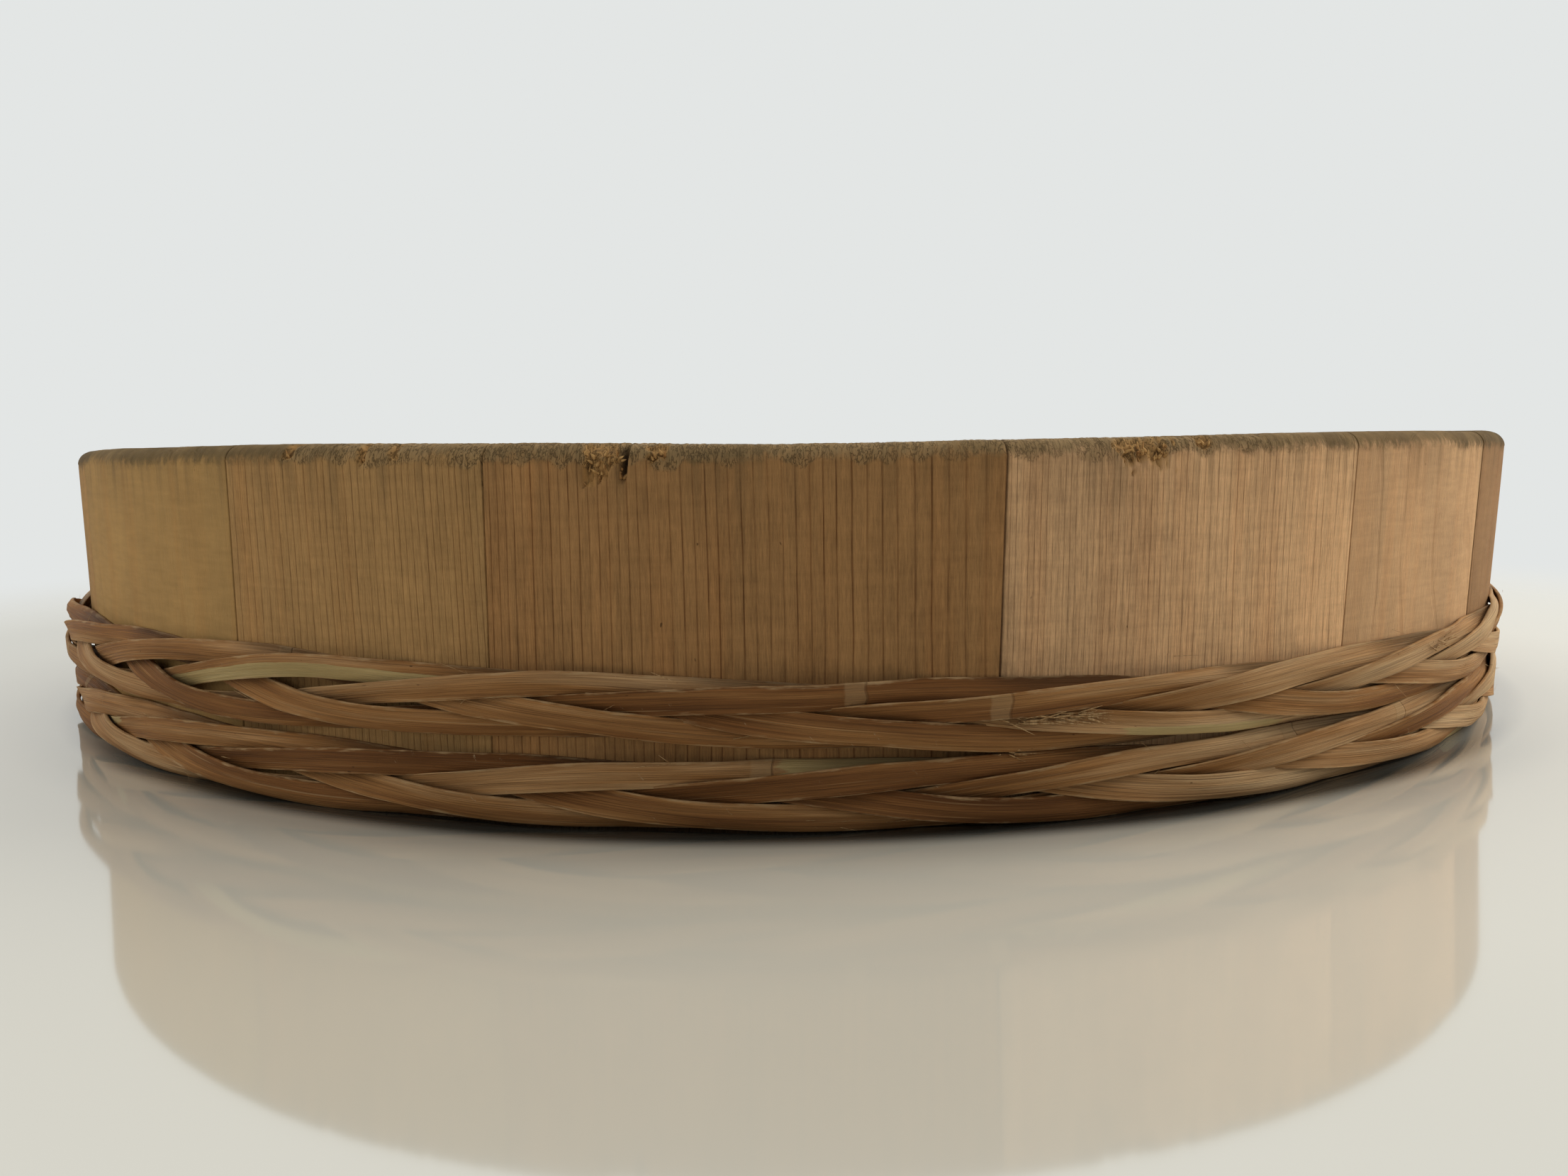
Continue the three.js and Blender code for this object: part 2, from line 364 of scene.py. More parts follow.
def stave_material(name, sawn, centre, seed):
    """Softwood of a stave: sawn is one of the rows above, centre the angle of its middle."""
    sawn = dict(zip(SAWN_KEYS, sawn))
    s = Shader(name)
    x, y, z = s.position()
    a = math.radians(centre)
    along = s.total((x, math.cos(a)), (y, math.sin(a)))
    inward = s.total((x, math.sin(a)), (y, -math.cos(a)), (1.0, -RIM_RADIUS))
    waver = s.grain((along, 0.03), (z, 0.02), seed)
    drift = s.grain((along, 0.12), seed * 1.7, detail=1.0)
    tilt = math.radians(sawn["tilt"])
    square = s.times(along, along)
    rings = s.total(
        (along, math.sin(tilt)), (inward, math.cos(tilt)), (square, -sawn["widen"]),
        (waver, 0.8 + 5.0 * math.cos(tilt)), (drift, 1.4), (1.0, 500.0),
    )
    count = s.math("DIVIDE", rings, sawn["spacing"])
    within = s.math("FRACT", count)
    number = s.math("FLOOR", count)
    variety = s.grain((number, 3.71), seed, detail=0.0)
    # Late wood: a slow darkening, then a thin dark line.
    shade = s.step(within, 0.30, 0.90)
    line = s.band(within, 0.85, 0.91, 0.03)
    strength = s.step(variety, 0.32, 0.68, 0.55, 1.0)
    fade = s.step(s.grain((number, 1.37), (z, 0.09), seed + 1), 0.35, 0.60, 0.55, 1.0)
    strength = s.times(strength, fade)
    late = s.times(s.total((shade, 0.14), (line, 0.90)), strength, clamp=True)
    early = sawn["colour"]
    dark = tuple(channel * level for channel, level in zip(early, (0.40, 0.29, 0.22)))
    colour = s.mix(s.times(late, sawn["lines"]), early, dark)
    # Fine upright fibres, faint level bands across them, and broad patches of darker wood.
    fibres = s.grain((along, 4.2), (z, 0.26), seed, detail=4.0, roughness=0.75)
    streaks = s.grain((along, 0.8), (z, 0.03), seed + 6, detail=3.0, roughness=0.6)
    bands = s.grain((along, 0.12), (z, 0.75), seed + 5, detail=3.0, roughness=0.6)
    patches = s.grain((along, 0.055), (z, 0.03), seed + 9, detail=3.0, roughness=0.6)
    fibre = sawn["fibre"]
    brightness = s.total(
        (fibres, 1.30 * fibre), (streaks, 0.55 * fibre), (bands, 0.34), (patches, 0.65),
        (along, sawn["grade"]), (1.0, 0.505 - 0.925 * fibre))
    colour = s.scaled(colour, brightness)
    # Redder and yellower streaks.
    hue = s.grain((along, 0.16), (z, 0.008), seed + 7, detail=3.0, roughness=0.6)
    colour = s.mix(s.step(hue, 0.45, 0.70, 0.0, 0.32), colour, (1.06, 0.90, 0.78), "MULTIPLY")
    # Small dark specks.
    specks = s.step(s.grain((along, 0.9), (z, 0.5), seed + 2, detail=1.0), 0.81, 0.84)
    colour = s.mix(s.times(specks, 0.7), colour, (0.06, 0.03, 0.012))
    # Grime and painted shade: an olive band on the rim, partly grime and partly painted shade on its
    # rounded top edge, darkest where hands hold it, and stains that run down.
    rim = s.attribute("rim")
    crushed = s.attribute("crushed")
    grimy = s.attribute("grime")
    grime_and_shade_noise = s.grain((along, 0.75), (z, 0.42), seed + 3, detail=5.0, roughness=0.72)
    grime_and_shade_depth = s.total((rim, 1.0), (grime_and_shade_noise, 5.0), (grimy, -1.8))
    # The band's darkness is partly real grime and partly painted shade on the rim's rounded top edge.
    grime = s.step(grime_and_shade_depth, 2.9, 5.3, 0.88, 0.0)
    tone_noise = s.grain((along, 0.12), (inward, 0.2), seed + 8, detail=4.0, roughness=0.65)
    tone = s.total((tone_noise, 1.0), (grimy, 0.46))
    grime_and_shade_colour = s.ramp(tone, [
        (0.45, (0.270, 0.182, 0.086)), (0.66, (0.170, 0.114, 0.050)), (1.00, (0.056, 0.041, 0.019)),
    ])
    colour = s.mix(grime, colour, grime_and_shade_colour)
    runs = s.step(s.grain((along, 0.4), (z, 0.02), seed + 4, detail=3.0), 0.42, 0.72)
    run_fade = s.step(rim, 0.0, 16.0, 0.45, 0.0)
    colour = s.mix(s.times(runs, run_fade), colour, (0.135, 0.088, 0.040))
    # Crushed fibres lie in small flakes with dark gaps, torn ones show fresh wood.
    flakes = s.grain((along, 1.7), (z, 0.62), (inward, 0.6), detail=3.0, roughness=0.6)
    flake_edge = s.band(flakes, 0.46, 0.49, 0.02)
    trodden = s.step(crushed, 0.10, 0.60)
    gap = s.times(flake_edge, trodden)
    khaki = s.mix(flakes, (0.235, 0.152, 0.066), (0.420, 0.275, 0.130))
    colour = s.mix(s.times(trodden, 0.50), colour, khaki)
    torn = s.mix(streaks, (0.36, 0.170, 0.050), (0.56, 0.330, 0.120))
    colour = s.mix(s.attribute("fresh"), colour, torn)
    colour = s.mix(s.times(gap, 0.50), colour, (0.070, 0.043, 0.019))
    colour = s.mix(s.attribute("crack"), colour, (0.040, 0.020, 0.008))
    roughness = s.total((fibres, 0.2), (patches, 0.15), (1.0, 0.55))
    height = s.total((late, -0.8), (fibres, 1.1), (bands, 0.3), (grime_and_shade_noise, 0.4), (gap, -2.5))
    s.surface.inputs["IOR"].default_value = 1.25
    return s.finish(colour, roughness, height, 0.16, specular=0.30)


# Places on the rim that are worn more than the rest: (angle, reach, strength).
CRUSHED = [
    (-12.5, 6.5, 1.0), (-5.5, 4.5, 1.0), (-22.5, 7.5, 0.8), (1.0, 6.0, 0.7), (8.5, 5.0, 0.6),
    (13.5, 4.0, 0.5), (18.6, 3.6, 0.9), (24.5, 6.0, 0.6), (33.0, 5.0, 0.3), (-38.0, 6.0, 0.3),
    (96.0, 9.0, 0.7), (140.0, 7.0, 0.9), (183.0, 8.0, 0.6), (222.0, 6.0, 0.9), (262.0, 9.0, 0.5),
]
# Torn out places: (angle, half width, depth below the rim).
TORN = [
    (18.0, 1.7, 5.4), (21.6, 0.5, 2.4), (-9.2, 1.1, 6.6), (-6.4, 0.6, 3.0), (-27.4, 0.45, 3.0),
    (-20.4, 0.4, 2.8), (-22.4, 0.3, 3.4), (141.5, 1.8, 5.0), (223.0, 1.4, 4.5),
]
SPLITS = [(-7.9, 0.75, 6.6), (139.0, 0.5, 6.0)]  # (angle, half width in mm, depth below the rim)
# The rim's height at angles round the ring, over the model's rim.
RIM_WEAR = [
    (-180, -0.9), (-95, -1.0), (-64, -0.5), (-44, 0.1), (-29, 0.3), (-14, 0.0), (0, -0.55),
    (11, -0.2), (25, 0.25), (40, 0.6), (52, 0.5), (66, -0.1), (95, -1.0), (180, -0.9),
]
# How grimy the rim is at angles round the ring.
GRIME = [
    (-180, 0.6), (-62, 0.85), (-45, 0.45), (-25, 0.15), (5, 0.1),
    (20, 0.15), (40, 0.5), (62, 0.8), (180, 0.6),
]
# How far each joint has opened, from 0 to 1, from the first stave's first joint on.
JOINT_OPENINGS = [
    0.22, 0.04, 0.36, 0.03, 0.30, 0.4, 0.1, 0.6, 0.2, 0.08, 0.5, 0.3, 0.1, 0.6, 0.2, 0.4, 0.08, 0.3,
]


def rim_height(angle):
    """Height of the worn rim above the foot at an angle."""
    return RIM_Z + along_ring(RIM_WEAR, angle)


def stave_profile():
    """(radius, z, outward radius, outward z) of points round a stave's section."""
    outer_round, inner_round, chamfer = 3.0, 1.5, 0.6
    rows = []
    for z in (*np.linspace(FOOT_Z + chamfer, 44, 12), *np.linspace(45, RIM_Z - outer_round, 20)):
        rows.append((wall_radius(z), z, 1, 0))
    for degrees in np.linspace(6, 90, 12):
        c, s = math.cos(math.radians(degrees)), math.sin(math.radians(degrees))
        rows.append((RIM_RADIUS - outer_round * (1 - c), RIM_Z - outer_round * (1 - s), c, s))
    inside = RIM_RADIUS - WALL
    for radius in np.linspace(RIM_RADIUS - outer_round, inside + inner_round, 9)[1:]:
        rows.append((radius, RIM_Z, 0, 1))
    for degrees in np.linspace(15, 90, 6):
        c, s = math.cos(math.radians(degrees)), math.sin(math.radians(degrees))
        rows.append((inside + inner_round * (1 - s), RIM_Z - inner_round * (1 - c), -s, c))
    for z in np.linspace(RIM_Z - inner_round, FOOT_Z + chamfer, 16)[1:]:
        rows.append((wall_radius(z) - WALL, z, -1, 0))
    rows.append((FOOT_RADIUS - WALL + chamfer, FOOT_Z, 0, -1))
    rows.append((FOOT_RADIUS - WALL / 2, FOOT_Z, 0, -1))
    rows.append((FOOT_RADIUS - chamfer, FOOT_Z, 0, -1))
    return np.array(rows, float)


def make_stave(index, node):
    first, last = stave_span(node)
    centre = (first + last) / 2
    arc_step = 0.36 if abs(turned(centre)) < 65 else 0.8
    per_degree = math.radians(1) * RIM_RADIUS
    edge = np.array([0.0, 0.1, 0.25, 0.5]) / per_degree
    inner = np.linspace(first + edge[-1], last - edge[-1], int((last - first) * per_degree / arc_step))
    angles = np.concatenate([first + edge[:-1], inner, (last - edge[:-1])[::-1]])
    profile = stave_profile()
    angle = angles[:, None]
    radius, z, out_r, out_z = (profile[:, i][None, :] for i in range(4))
    arc = angle * per_degree
    signed = turned(angle)

    rng = np.random.default_rng(100 + index)
    outward = rng.uniform(-0.05, 0.04)
    lean = rng.uniform(-0.05, 0.05)
    is_rim = smooth(z, RIM_Z - 8, RIM_Z - 3)
    below = RIM_Z - z
    inward = RIM_RADIUS - radius
    path = below + inward
    outer_part = 1 - smooth(inward, 2.2, 4.5)

    shift = outward + lean * (z - RIM_Z / 2) / RIM_Z + 0.08 * value_noise(arc / 22, z / 30, 11)
    shift = shift + 0.04 * value_noise(arc / 5, z / 12, 12)
    flake = 1 - 2 * np.abs(value_noise(arc / 1.1, path / 2.6, 13))
    fibre = value_noise(arc / 0.55, path / 1.3, 14)
    crush = np.full_like(signed, 0.14)
    for at, reach, strength in CRUSHED:
        away = turned(signed - at)
        crush = np.maximum(crush, strength * (1 - smooth(np.abs(away), reach * 0.4, reach)))
    crush = crush * (0.7 + 0.3 * value_noise(arc / 4, 0, 15))
    crush_depth = 2.3 + 1.0 * value_noise(arc / 2.2, 0, 19)
    crush = crush * is_rim * (1 - smooth(below, crush_depth, crush_depth + 1.5))
    shift = shift + crush * (0.20 * flake + 0.14 * fibre - 0.26)

    fresh = np.zeros_like(shift)
    crack = np.zeros_like(shift)
    for at, half, depth in TORN:
        away = np.abs(turned(signed - at))
        ragged = 0.50 * value_noise(arc / 1.1, z / 1.7, 16) + 0.40 * value_noise(arc / 0.5, z / 0.9, 17)
        mask = (1 - smooth(away / half, 0.45, 1.25)) * (1 - smooth(below / depth, 0.55, 1.2))
        mask = mask * outer_part
        hollow = smooth(mask + ragged, 0.55, 0.95) * (mask > 0.02)
        shift = shift - 0.95 * hollow
        fresh = np.maximum(fresh, 0.70 * smooth(mask + ragged, 0.35, 0.80) * (mask > 0.02))
        crack = np.maximum(crack, 0.6 * smooth(mask + ragged, 1.10, 1.45))
    for at, half, depth in SPLITS:
        away = np.abs(turned(signed - at) * per_degree + 0.05 * below)
        groove = (1 - smooth(away, 0.35 * half, half)) * (1 - smooth(below / depth, 0.6, 1.0))
        groove = groove * outer_part
        shift = shift - 2.0 * groove
        crack = np.maximum(crack, 0.95 * groove)
    openings = JOINT_OPENINGS[index], JOINT_OPENINGS[(index + 1) % len(STAVES)]
    joint = np.zeros_like(arc)
    for opening, from_joint in zip(openings, (arc - first * per_degree, last * per_degree - arc)):
        joint = np.maximum(joint, opening * (1 - smooth(from_joint, 0.0, 0.15 + 0.3 * opening)))
    shift = shift - 0.28 * joint

    top = rim_height(angle)
    settle = (top - RIM_Z) * smooth(z, RIM_Z * 0.5, RIM_Z)
    radius, z = radius + out_r * shift, z + out_z * shift + settle
    angle, z = np.broadcast_arrays(angle, z)
    points = ring_points(radius, angle, z)
    side_grime = along_ring(GRIME, angle) + 0.40 * value_noise(arc / 9, 0, 18)
    attributes = {
        "rim": np.maximum(top - z, 0),
        "grime": np.clip(side_grime, 0, 1) * np.ones_like(z),
        "crushed": crush,
        "fresh": fresh,
        "crack": np.maximum(crack, 0.8 * joint * np.ones_like(z)),
    }
    material = stave_material(f"stave_wood_{index + 1}", SAWN[index], centre, index * 7.3)
    make_loft(f"{node}_planed", points, material, "basket", "stave_wood", [node], attributes)


# ---------------------------------------------------------------- hoops
def bamboo_strip_material():
    """Split bamboo, aged reddish brown. along and across are in millimetres."""
    s = Shader("hoop_bamboo")
    along, across = s.attribute("along"), s.attribute("across")
    edge = s.attribute("edge")
    depth = s.attribute("depth")
    tint = s.attribute("tint")

    def streaks(along_scale, across_scale, offset, detail=3.0):
        return s.grain(
            (along, along_scale), (across, across_scale), offset, detail=detail, roughness=0.62)

    broad = streaks(0.016, 0.30, 1.0)
    fibres = streaks(0.05, 6.0, 2.0, 3.0)
    threads = streaks(0.010, 3.0, 3.0, 3.0)
    colour = s.ramp(s.total((broad, 0.8), (tint, 0.16), (1.0, 0.10)), [
        (0.22, (0.116, 0.043, 0.011)), (0.42, (0.216, 0.090, 0.027)),
        (0.54, (0.320, 0.150, 0.049)), (0.68, (0.430, 0.240, 0.103)), (0.85, (0.550, 0.360, 0.184)),
    ])
    colour = s.scaled(colour, s.total((fibres, 1.6), (threads, 1.0), (1.0, -0.37)))
    dark_thread = s.step(threads, 0.57, 0.66)
    colour = s.mix(s.times(dark_thread, 0.55), colour, (0.060, 0.024, 0.009))
    pale_thread = s.step(streaks(0.018, 2.2, 4.0, 3.0), 0.60, 0.70)
    colour = s.mix(s.times(pale_thread, 0.45), colour, (0.50, 0.315, 0.150))
    # Skin: stretches where a strip keeps its pale greenish yellow face.
    skin_edge = s.total((s.attribute("skin"), 1.0), (streaks(0.10, 1.6, 5.0), 0.9), (1.0, -0.45))
    skin = s.step(skin_edge, 0.40, 0.55)
    skin_tone = s.mix(streaks(0.05, 1.3, 6.0), (0.300, 0.215, 0.078), (0.560, 0.430, 0.195))
    colour = s.mix(s.times(skin, 0.8), colour, skin_tone)
    # Pale worn edges and scuffs.
    worn = s.step(s.total((edge, 1.0), (streaks(0.16, 1.0, 7.0), 1.0)), 1.36, 1.62)
    colour = s.mix(s.times(worn, 0.7), colour, (0.470, 0.310, 0.155))
    scuff_place = s.vector(
        s.total((along, 0.60), (across, 0.55)), s.total((across, 0.14), (along, -0.11)), 8.0)
    scuffs = s.step(s.noise(scuff_place, 1.0, 4.0, 0.75), 0.64, 0.70)
    scuff_zone = s.step(streaks(0.035, 0.3, 9.0, 1.0), 0.52, 0.62)
    scuffs = s.times(scuffs, scuff_zone)
    colour = s.mix(s.times(scuffs, 0.6), colour, (0.52, 0.37, 0.21))
    # Culm nodes: a pale scar across the strip, with a dark line on one side.
    from_node = s.total((s.attribute("culm"), 1.0), (streaks(0.3, 0.5, 10.0, 0.0), 0.8), (1.0, -0.4))
    scar = s.band(from_node, -1.3, 1.4, 0.5)
    scar_line = s.band(from_node, 1.7, 1.8, 0.25)
    colour = s.mix(s.times(scar, 0.30), colour, (0.440, 0.300, 0.150))
    colour = s.mix(s.times(scar_line, 0.35), colour, (0.075, 0.034, 0.012))
    # Painted shade in the deep layers, where strips lie under others, and dirt in specks.
    colour = s.mix(s.step(depth, 0.1, 1.3, 0.50, 0.0), colour, (0.045, 0.022, 0.010))
    specks = s.step(streaks(0.45, 1.6, 11.0, 1.0), 0.77, 0.80)
    colour = s.mix(s.times(specks, 0.7), colour, (0.045, 0.020, 0.008))
    roughness = s.total((fibres, 0.25), (broad, 0.2), (skin, -0.10), (1.0, 0.42))
    height = s.total((fibres, 1.0), (threads, 1.0), (scar, 0.4), (scar_line, -0.7), (scuffs, 0.2))
    return s.finish(colour, roughness, height, 0.20, specular=0.14)


def plait_phase(hoop, strip, angle):
    turns = ARCS_PER_TURN * (angle - hoop["bow_angle"]) / 360
    return 2 * np.pi * (turns + strip) / STRIPS


def layer(phase, side):
    """How many layers out a point of a strip lies: side is 1 at the model strip's upper edge."""
    depth = 1.22 * np.sin(2 * phase) - 0.27 * np.sin(4 * phase)
    tip = 0.49 * np.sin(phase) + 0.08 * np.sin(3 * phase) + 0.49 * np.sin(5 * phase)
    return 1.39 - depth - side * tip


# Half a strip's section, from the middle of its inside to the middle of its outside:
# (share of half the width, share of the thickness).
STRIP_SECTION = [
    (0, 0), (0.5, 0), (0.95, 0), (0.99, 0.1), (1, 0.5),
    (1, 0.90), (0.98, 0.98), (0.94, 1), (0.5, 1.01), (0, 1.02),
]


def strip_section():
    """(across, depth) of the points round a strip's section, in shares."""
    half = np.array(STRIP_SECTION)
    mirrored = half[1:-1][::-1] * (-1, 1)
    return np.concatenate([half, mirrored])


def first_step(strip):
    """The model's step at which a strip starts, at the back of the ring."""
    return round(HOOP_STEPS / 2 - strip * HOOP_STEPS / ARCS_PER_TURN)


# How loosely the layers lie on each other, against the model: (angle, share).
HOOP_SLACK = [(-180, 1.0), (20, 1.0), (48, 0.72), (80, 0.72), (120, 1.0), (180, 1.0)]
# Stretches of bamboo skin: (hoop, strip, first angle, last angle, lower side, upper side).
SKIN = [
    ("upper_hoop", 4, -40, -13, -1.3, 0.1), ("upper_hoop", 3, 16, 28, -1.3, -0.35),
    ("lower_hoop", 3, -1, 10.5, -0.6, 1.3), ("upper_hoop", 1, 30, 38, 0.6, 1.3),
    ("lower_hoop", 0, -62, -44, 0.5, 1.3), ("lower_hoop", 2, 44, 58, -1.3, -0.4),
    ("upper_hoop", 2, 80, 110, 0.0, 1.3), ("lower_hoop", 1, 130, 160, -1.3, 0.0),
    ("upper_hoop", 4, 200, 232, 0.2, 1.3), ("lower_hoop", 3, 240, 262, -0.4, 1.3),
]
# An angle at which each strip crosses a node of the culm it was split from.
CULM_NODES = {"upper_hoop": (-28, 10.2, 3.2, 64, 66), "lower_hoop": (38, 28, 69, -1.2, 62)}
CULM_SPACING = 125  # degrees between a strip's culm nodes


def strip_surface(hoop, strip, angle, width, thickness):
    """Points of a strip's sections at each angle, their layer and their side, as arrays."""
    section = strip_section()
    seed = hoop["seed"]
    arc = angle * math.radians(1) * RIM_RADIUS
    full = np.radians(angle)
    easy = angle + 0.9 * np.sin(2 * full + seed) + 0.7 * np.sin(5 * full + 2 * seed)
    easy = easy + 0.5 * np.sin(11 * full + seed)
    reach = along_ring(hoop["reach"], angle) * (1 + 0.04 * np.sin(9 * full))
    phase = plait_phase(hoop, strip, easy)
    path = (np.cos(phase) + BOW_FLATNESS * np.cos(3 * phase)) / (1 + BOW_FLATNESS)
    hoop_middle = along_ring(hoop["middle"], angle)
    wander = 0.30 * value_noise(arc / 23 + 40 * strip, seed, 21)
    middle = (hoop_middle + reach * path + wander)[:, None]
    side = section[:, 0][None, :] * width[:, None] / MODEL_STRIP_WIDTH
    z = np.maximum(middle + side * MODEL_STRIP_WIDTH / 2, FOOT_Z + 0.05)
    lay = layer(phase[:, None], side)
    slack = along_ring(HOOP_SLACK, angle)[:, None]
    stand = (HOOP_CLEARANCE + PLY * lay) * slack
    stand = stand + (0.10 * value_noise(arc / 11 + 17 * strip, seed, 22))[:, None]
    stand = stand + along_ring(hoop["bulge"], angle)[:, None]
    # The outermost edges, where no other strip lies, curl in to the wall.
    beyond = np.abs(z - hoop_middle[:, None]) - reach[:, None] + 0.4
    stand = stand - 0.30 * np.clip(beyond, 0, None) ** 2
    radius = wall_radius(z) + np.maximum(stand, 0.08) + section[:, 1][None, :] * thickness
    return ring_points(radius, angle[:, None] + 0 * z, z), lay, side


def strip_attributes(name, strip, angle, side, lay, number):
    """What the bamboo's material needs to know at each point of a strip."""
    arc = angle * math.radians(1) * RIM_RADIUS
    signed = turned(angle)[:, None]
    skin = np.zeros_like(side)
    for hoop, which, first, last, low, high in SKIN:
        if (hoop, which) == (name, strip):
            from_middle = np.abs(turned(signed - (first + last) / 2))
            ends = 1 - smooth(from_middle, (last - first) / 2 - 2.5, (last - first) / 2 + 1)
            skin = np.maximum(skin, ends * smooth(side, low - 0.1, low + 0.1) * (side < high))
    half_way = CULM_SPACING / 2
    from_node = (signed - CULM_NODES[name][strip] + half_way) % CULM_SPACING - half_way
    return {
        "along": arc[:, None] + 377.0 * number + 0 * side,
        "across": side * MODEL_STRIP_WIDTH / 2,
        "edge": np.abs(strip_section()[:, 0])[None, :] + 0 * side,
        "depth": lay,
        "skin": skin,
        "culm": from_node * math.radians(1) * RIM_RADIUS + 0 * side,
        "tint": STRIP_TINTS[number % len(STRIP_TINTS)] + along_ring(PALER, angle)[:, None] + 0 * side,
    }


STRIP_TINTS = [0.0, 0.55, -0.35, 0.9, -0.8, 0.3, -0.1, -0.6, 0.7, 0.15]
# How much paler the hoops are than at the front: (angle, tint).
PALER = [
    (-180, 0.4), (-70, 0.3), (-35, 0.1), (-15, -0.2), (8, -0.3), (30, 1.0), (70, 1.0), (180, 0.4),
]


# How much wider the strips are at the sides, in mm: (angle, width).
WIDER = [
    (-180, 0.0), (-85, 0.0), (-70, 0.4), (-52, 0.4), (-40, 0.0),
    (45, 0.0), (60, 0.3), (80, 0.3), (100, 0.0), (180, 0.0),
]
STRIP_WIDTH = 4.15
STRIP_THICKNESS = 0.72
STRIP_STEP = 0.4  # degrees between a strip's sections
STRIP_END_GAP = 1.2  # degrees left between a strip's end and the next one's start


def make_hoop(name, hoop, material):
    for strip in range(STRIPS):
        following = (strip + ARCS_PER_TURN % STRIPS) % STRIPS
        start = 360 * first_step(strip) / HOOP_STEPS
        end = 360 * (first_step(following) + HOOP_STEPS) / HOOP_STEPS - STRIP_END_GAP
        angle = np.arange(start, end, STRIP_STEP)
        arc = angle * math.radians(1) * RIM_RADIUS
        number = strip + (STRIPS if name == "upper_hoop" else 0)
        width = STRIP_WIDTH + 0.40 * value_noise(arc / 60, 10 * number, 23)
        width = width + 0.12 * value_noise(arc / 6, 10 * number, 24)
        width = width + along_ring(WIDER, angle)
        points, lay, side = strip_surface(hoop, strip, angle, width, STRIP_THICKNESS)
        attributes = strip_attributes(name, strip, angle, side, lay, number)
        node = f"{name}_strip_{strip + 1}"
        make_loft(f"{node}_split", points, material, "basket", "hoop_bamboo", [node], attributes)


# ---------------------------------------------------------------- loose fibres and splinters
# Frayed ends of strips that are tucked under others: (angle, z, spread in angle, spread in z, count,
# stand off the wall).
FRAYS = [
    (12.9, 17.3, 2.4, 0.6, 60, 4.1), (10.6, 11.9, 0.8, 0.5, 10, 2.6), (41.5, 21.5, 1.0, 1.0, 12, 3.6),
    (-9.0, 21.8, 2.5, 0.7, 16, 2.4), (-58.0, 14.0, 1.5, 0.6, 10, 3.6), (100.0, 18.0, 2.0, 0.9, 20, 3.6),
    (171.0, 8.0, 2.0, 0.9, 22, 3.6), (215.0, 19.0, 2.0, 0.9, 22, 3.6), (285.0, 7.0, 1.5, 0.8, 14, 3.6),
]
HAIRS = 150


def slivers(starts, directions, outward, lengths, widths, bends):
    """Thin pointed slivers of wood, as one mesh: points and faces."""
    share = np.linspace(0, 1, 6)
    taper = np.array([0.7, 1.0, 0.9, 0.7, 0.45, 0.12])
    around = np.array([(1, 0.0), (0, 0.5), (-1, 0.0), (0, -0.5)])
    points, faces = [], []
    for start, direction, out, length, width, bend in zip(
        starts, directions, outward, lengths, widths, bends
    ):
        across = np.cross(direction, out)
        middle = start + share[:, None] * direction * length + (bend * share**2)[:, None] * out
        middle[:, 2] = np.maximum(middle[:, 2], FOOT_Z + 0.3)
        for ring, size in zip(middle, taper * width / 2):
            for a, b in around:
                points.append(ring + size * (a * across + b * out))
        offset = len(points) - len(share) * len(around)
        faces += [[offset + corner for corner in face] for face in loft_faces(len(share), len(around))]
    return np.array(points), faces


def ring_directions(angle):
    """(round the ring, outward) unit vectors at angles."""
    a = np.radians(angle)
    zero = np.zeros_like(a)
    return np.stack([np.cos(a), np.sin(a), zero], -1), np.stack([np.sin(a), -np.cos(a), zero], -1)


def make_frays(material):
    rng = np.random.default_rng(71)
    parts = []
    for at, height, spread, spread_z, count, stand in FRAYS:
        angle = at + spread * rng.uniform(-1, 1, count)
        z = height + spread_z * rng.uniform(-1, 1, count)
        along, out = ring_directions(angle)
        start = ring_points(wall_radius(z) + stand + rng.uniform(-0.5, 0.3, count), angle, z)
        turn = rng.normal(0, 0.22, count)[:, None]
        flip = rng.choice([-1.0, 1.0], count, p=[0.15, 0.85])[:, None]
        direction = flip * along * np.cos(turn) + np.array([0, 0, 1.0]) * np.sin(turn)
        parts.append((start, direction, out, rng.uniform(1.8, 5.0, count), rng.uniform(0.15, 0.42, count),
                      rng.uniform(-0.6, 1.0, count)))
    # Single hairs along the hoops' edges.
    count = HAIRS
    angle = rng.uniform(-180, 180, count)
    hoop_z = rng.choice([2.2, 6.0, 11.5, 14.8, 19.0, 25.6], count) + rng.uniform(-1.2, 1.2, count)
    along, out = ring_directions(angle)
    start = ring_points(wall_radius(hoop_z) + rng.uniform(2.6, 3.8, count), angle, hoop_z)
    turn = rng.normal(0, 0.5, count)[:, None]
    direction = along * np.cos(turn) + np.array([0, 0, 1.0]) * np.sin(turn)
    parts.append((start, direction, out, rng.uniform(2.0, 7.0, count), rng.uniform(0.06, 0.14, count),
                  rng.uniform(-0.2, 0.9, count)))
    points, faces = slivers(*(np.concatenate(column) for column in zip(*parts)))
    make_piece("hoop_frayed_fibres", points, faces, material, "basket", "hoop_bamboo")


